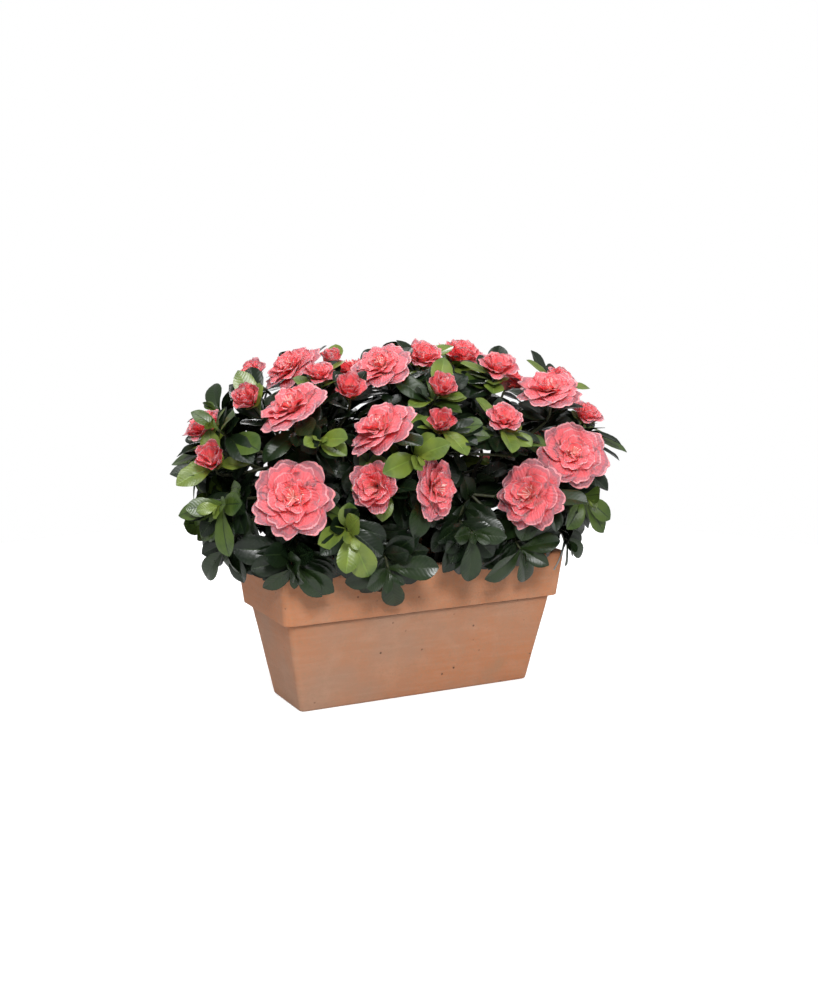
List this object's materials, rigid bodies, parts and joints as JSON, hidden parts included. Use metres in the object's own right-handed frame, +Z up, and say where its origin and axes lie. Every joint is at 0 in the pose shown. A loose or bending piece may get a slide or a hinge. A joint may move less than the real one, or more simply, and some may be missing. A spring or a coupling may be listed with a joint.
{
  "type": "artificial azalea in a trough",
  "caption": "Artificial azalea in full coral-pink flower, with glossy leaves on wiry stems, set in a filled terracotta balcony trough.",
  "frame": {"origin": "middle of the trough's flat underside, at the level it stands on", "axes": "+Z up, +X along the trough towards its right-hand end as seen from the front, -Y towards the front"},
  "size_m": [0.4311, 0.2647, 0.3377],
  "materials": {
    "terracotta": "unglazed fired clay, matt, with pale bloom and dark specks",
    "filling": "dark loose granules over foam",
    "stems": "plastic-covered wire, dark brown-green",
    "foliage": "waxed dark and light green cloth leaves, coral-pink cloth petals"
  },
  "bodies": {
    "root": {"bough_back_high_left": "stems", "bough_back_high_right": "stems", "bough_back_low_left": "stems", "bough_back_low_mid": "stems", "bough_back_low_right": "stems", "bough_back_mid_left": "stems", "bough_back_mid_mid": "stems", "bough_back_mid_right": "stems", "bough_end_left": "stems", "bough_end_right": "stems", "bough_front_low_left": "stems", "bough_front_low_mid_left": "stems", "bough_front_low_mid_right": "stems", "bough_front_low_right": "stems", "bough_front_mid_left": "stems", "bough_front_mid_mid_left": "stems", "bough_front_mid_mid_right": "stems", "bough_front_mid_right": "stems", "bough_shoulder_left": "stems", "bough_shoulder_right": "stems", "bough_top_left": "stems", "bough_top_mid": "stems", "bough_top_right": "stems", "filling": "filling", "foliage_back_high_left": "foliage", "foliage_back_high_right": "foliage", "foliage_back_low_left": "foliage", "foliage_back_low_mid": "foliage", "foliage_back_low_right": "foliage", "foliage_back_mid_left": "foliage", "foliage_back_mid_mid": "foliage", "foliage_back_mid_right": "foliage", "foliage_end_left": "foliage", "foliage_end_right": "foliage", "foliage_front_low_left": "foliage", "foliage_front_low_mid_left": "foliage", "foliage_front_low_mid_right": "foliage", "foliage_front_low_right": "foliage", "foliage_front_mid_left": "foliage", "foliage_front_mid_mid_left": "foliage", "foliage_front_mid_mid_right": "foliage", "foliage_front_mid_right": "foliage", "foliage_shoulder_left": "foliage", "foliage_shoulder_right": "foliage", "foliage_top_left": "foliage", "foliage_top_mid": "foliage", "foliage_top_right": "foliage", "stem_far_left": "stems", "stem_far_right": "stems", "stem_left": "stems", "stem_middle": "stems", "stem_right": "stems", "trough": "terracotta"}
  },
  "joints": []
}
